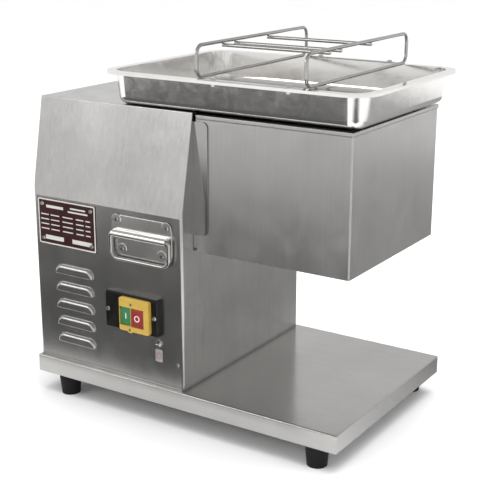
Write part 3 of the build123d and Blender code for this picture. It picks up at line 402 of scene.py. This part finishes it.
plate_low, plate_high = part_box("rating_plate")
plate_w = plate_high.x - plate_low.x
plate_h = plate_high.z - plate_low.z
plate_x, plate_z, plate_face = front_of("rating_plate")
border_margin = 0.6 * MM        # from the plate's edge to the border
border_width = 2.1 * MM
border_corner = 2.2 * MM        # radius of the border's outer corners; the inner ones are tighter
border_inner_corner = 1.6 * MM
dash_height = 1.7 * MM
field_height = 6.5 * MM

# Places and widths are shares of the plate's width, rises are shares of its height,
# and both are measured from the plate's middle.
dash_columns = ((-0.38, 0.14), (-0.20, 0.15), (0.02, 0.18), (0.23, 0.13), (0.37, 0.08))
dash_lines = 4
dash_top = 0.15
dash_bottom = -0.16
field_rise = -0.34
fields = ((-0.22, 0.32), (0.26, 0.34))
headings = (
    (-0.2, 0.33, 0.3, 4.2 * MM),
    (0.2, 0.36, 0.26, 2.4 * MM),
    (0.2, 0.285, 0.34, 2.4 * MM),
)


def plate_bar(mesh, place, rise, width, height):
    """A printed bar on the rating plate; place, rise and width are shares, height is metres."""
    bar = rectangle(plate_x + place * plate_w, plate_z + rise * plate_h, width * plate_w, height)
    slab(mesh, bar, plate_face - INK, 2 * INK)


def plate_outline(margin, corner):
    """Outline of the plate, drawn in by a margin."""
    return rectangle(plate_x, plate_z, plate_w - 2 * margin, plate_h - 2 * margin, corner)


plate_print = bmesh.new()
ring(
    plate_print,
    plate_outline(border_margin + border_width, border_inner_corner),
    plate_outline(border_margin, border_corner),
    plate_face - INK,
    2 * INK,
)
for line in range(dash_lines):
    dash_rise = dash_top + (dash_bottom - dash_top) * line / (dash_lines - 1)
    for dash_place, dash_width in dash_columns:
        plate_bar(plate_print, dash_place, dash_rise, dash_width, dash_height)
for field_place, field_width in fields:
    plate_bar(plate_print, field_place, field_rise, field_width, field_height)
for heading in headings:
    plate_bar(plate_print, *heading)
etched = moulded("etched_print", (0.56, 0.55, 0.52), 0.5, fade=0.08)
as_piece(plate_print, "rating_plate_print", etched, "machine_frame")

# ---------------------------------------------------------------- symbols on the push buttons

print_white = moulded("print_white", (0.8, 0.8, 0.78), 0.45, fade=0.04)
line_width = 1.5 * MM           # the start line
line_height = 9 * MM
line_corner = 0.7 * MM
stop_inner = 3.3 * MM           # the stop ring's radii
stop_outer = 4.7 * MM

start_x, start_z, start_face = front_of("start_button")
start_line = rectangle(start_x, start_z, line_width, line_height, line_corner)
start_mark = bmesh.new()
slab(start_mark, start_line, start_face - INK, 2 * INK)
as_piece(start_mark, "start_symbol", print_white, "start")

stop_x, stop_z, stop_face = front_of("stop_button")
stop_rims = [circle(stop_x, stop_z, radius) for radius in (stop_inner, stop_outer)]
stop_mark = bmesh.new()
ring(stop_mark, *stop_rims, stop_face - INK, 2 * INK)
as_piece(stop_mark, "stop_symbol", print_white, "stop")

# ---------------------------------------------------------------- painted shade in the hollow rivets of the handle plate

handle_x = front_of("handle_plate")[0]
rivet_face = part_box("panel_rivets")[0].y
bore_radius = 1.3 * MM
bore_points = 16
rivet_rows = ((294.5 * MM, 44 * MM), (252.5 * MM, 35 * MM))     # height, and reach to each side

# Painted shade: flat near-black discs on the rivet heads stand in for the shade inside their
# hollows.
bore_painted_shade = moulded("bore_painted_shade", (0.01, 0.01, 0.01), 0.8, shine=0.1)
bore_shade_discs = bmesh.new()
for rivet_z, reach in rivet_rows:
    for side in (-1, 1):
        bore = circle(handle_x + side * reach, rivet_z, bore_radius, bore_points)
        slab(bore_shade_discs, bore, rivet_face - INK, 2 * INK)
as_piece(bore_shade_discs, "rivet_bore_shade", bore_painted_shade, "machine_frame")

# ---------------------------------------------------------------- tag under the earth screw

column_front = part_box("handle_plate")[1].y
screw_x = front_of("earth_screw")[0]
screw_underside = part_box("earth_screw")[0].z
tag_x = screw_x - 1 * MM
tag_z = screw_underside - 12 * MM
tag_width = 12.5 * MM
tag_height = 19 * MM
tag_corner = 1.5 * MM
tag_inner = 3.6 * MM            # radii of the ring on the tag
tag_outer = 4.8 * MM
tag_paper = moulded("tag_paper", (0.3, 0.29, 0.28), 0.55, fade=0.1)
tag_ink = moulded("tag_ink", (0.36, 0.12, 0.11), 0.5)

tag_outline = rectangle(tag_x, tag_z, tag_width, tag_height, tag_corner)
tag = bmesh.new()
slab(tag, tag_outline, column_front - 2 * INK, 2 * INK)
as_piece(tag, "earth_tag", tag_paper, "machine_frame")
tag_rims = [circle(tag_x, tag_z, radius) for radius in (tag_inner, tag_outer)]
tag_mark = bmesh.new()
ring(tag_mark, *tag_rims, column_front - 3 * INK, INK)
as_piece(tag_mark, "earth_tag_mark", tag_ink, "machine_frame")

# ---------------------------------------------------------------- floor, light and camera

def flat_square(name, half, finish):
    """A flat square about the origin, facing up."""
    corners = [(i * half, j * half, 0) for i, j in ((-1, -1), (1, -1), (1, 1), (-1, 1))]
    data = bpy.data.meshes.new(name)
    data.from_pydata(corners, [], [(0, 1, 2, 3)])
    data.materials.append(finish)
    square = bpy.data.objects.new(name, data)
    scene.collection.objects.link(square)
    return square


floor_half = 30.0
floor_finish = Finish("floor_paper", 0.9)
floor_finish.colours(floor_finish.noise(3), (0.3, (0.93, 0.93, 0.93)), (0.7, (0.95, 0.95, 0.95)))
floor = flat_square("floor", floor_half, floor_finish.material)

world = bpy.data.worlds.new("studio")
scene.world = world
world.use_nodes = True
world_tree = world.node_tree
background = world_tree.nodes["Background"]
background.inputs["Strength"].default_value = 1.0
direction = world_tree.nodes.new("ShaderNodeTexCoord").outputs["Generated"]
split = world_tree.nodes.new("ShaderNodeSeparateXYZ")
world_tree.links.new(direction, split.inputs["Vector"])
sky = world_tree.nodes.new("ShaderNodeValToRGB")
sky_levels = ((0.0, 1.0), (0.3, 0.85), (0.6, 0.7), (1.0, 0.42))     # from the horizon up
fill_ramp(sky, [(rise, (level, level, level)) for rise, level in sky_levels])
world_tree.links.new(split.outputs["Z"], sky.inputs["Fac"])
world_tree.links.new(sky.outputs["Color"], background.inputs["Color"])


flag_height = 2 * MM            # clear of the floor under it


def flag(name, place, half_size, core, shade):
    """A dark card on the floor that only reflections see, as a studio uses.

    It is even out to core, a share of its half size, and fades from there to its rim."""
    finish = Finish(name + "_card", 1.0)
    finish.shader.inputs["Base Color"].default_value = (shade, shade, shade, 1)
    split_place = finish.tree.nodes.new("ShaderNodeSeparateXYZ")
    finish.link(finish.place, split_place.inputs["Vector"])
    product = finish.tree.nodes.new("ShaderNodeMath")
    product.operation = "MULTIPLY"
    for index, letter in enumerate("XY"):
        reach = finish.tree.nodes.new("ShaderNodeMath")
        reach.operation = "ABSOLUTE"
        finish.link(split_place.outputs[letter], reach.inputs[0])
        fade = finish.spread(reach.outputs["Value"], 1.0, 0.0, start=core, end=1.0)
        finish.link(fade, product.inputs[index])
    finish.link(product.outputs["Value"], finish.shader.inputs["Alpha"])
    card = flat_square(name, 1.0, finish.material)
    card.location = (*place, flag_height)
    card.scale = (*half_size, 1.0)
    card.visible_camera = False
    card.visible_diffuse = False
    card.visible_shadow = False


flag("flag_front", (-0.52, -0.885), (0.68, 0.635), 0.95, 0.07)
flag("flag_right", (0.72, 0.95), (0.88, 1.07), 0.65, 0.26)
flag("flag_corner", (0.98, -0.80), (0.36, 0.36), 0.85, 0.07)


def softbox(name, place, aim, width, height, power):
    """A rectangular area light that looks at a point; power is in watts."""
    light = bpy.data.lights.new(name, "AREA")
    light.shape = "RECTANGLE"
    light.size = width
    light.size_y = height
    light.energy = power
    holder = bpy.data.objects.new(name, light)
    scene.collection.objects.link(holder)
    holder.location = place
    holder.rotation_mode = "QUATERNION"
    holder.rotation_quaternion = (Vector(aim) - Vector(place)).to_track_quat("-Z", "Y")
    return holder


middle = (cad_low + cad_high) / 2
sun_data = bpy.data.lights.new("light_sky", "SUN")
sun_data.energy = 1.35
sun_data.angle = math.radians(70)
sun = bpy.data.objects.new("light_sky", sun_data)
sun.visible_glossy = False
scene.collection.objects.link(sun)
softbox("light_left", (-1.7, -2.4, 1.5), middle, 1.6, 0.8, 14)
softbox("light_top", (0.3, 0.2, 2.6), middle, 2.4, 1.8, 40).visible_glossy = False
softbox("light_right", (2.4, 1.6, 1.0), middle, 1.2, 1.0, 14).visible_glossy = False

camera_data = bpy.data.cameras.new("camera")
camera = bpy.data.objects.new("camera", camera_data)
scene.collection.objects.link(camera)
camera_azimuth = math.radians(33.07)
camera_height = math.radians(16.48)
camera_distance = 1.72
camera_target = Vector((-0.035, 0.0445, 0.2259))
camera_back = Vector((
    math.sin(camera_azimuth) * math.cos(camera_height),
    -math.cos(camera_azimuth) * math.cos(camera_height),
    math.sin(camera_height),
))
camera.location = camera_target + camera_back * camera_distance
camera.rotation_mode = "QUATERNION"
camera.rotation_quaternion = (-camera_back).to_track_quat("-Z", "Y")
camera_data.lens = 83.83
camera_data.sensor_width = 36.0
camera_data.clip_end = 200.0
scene.camera = camera

scene.view_settings.view_transform = "Standard"
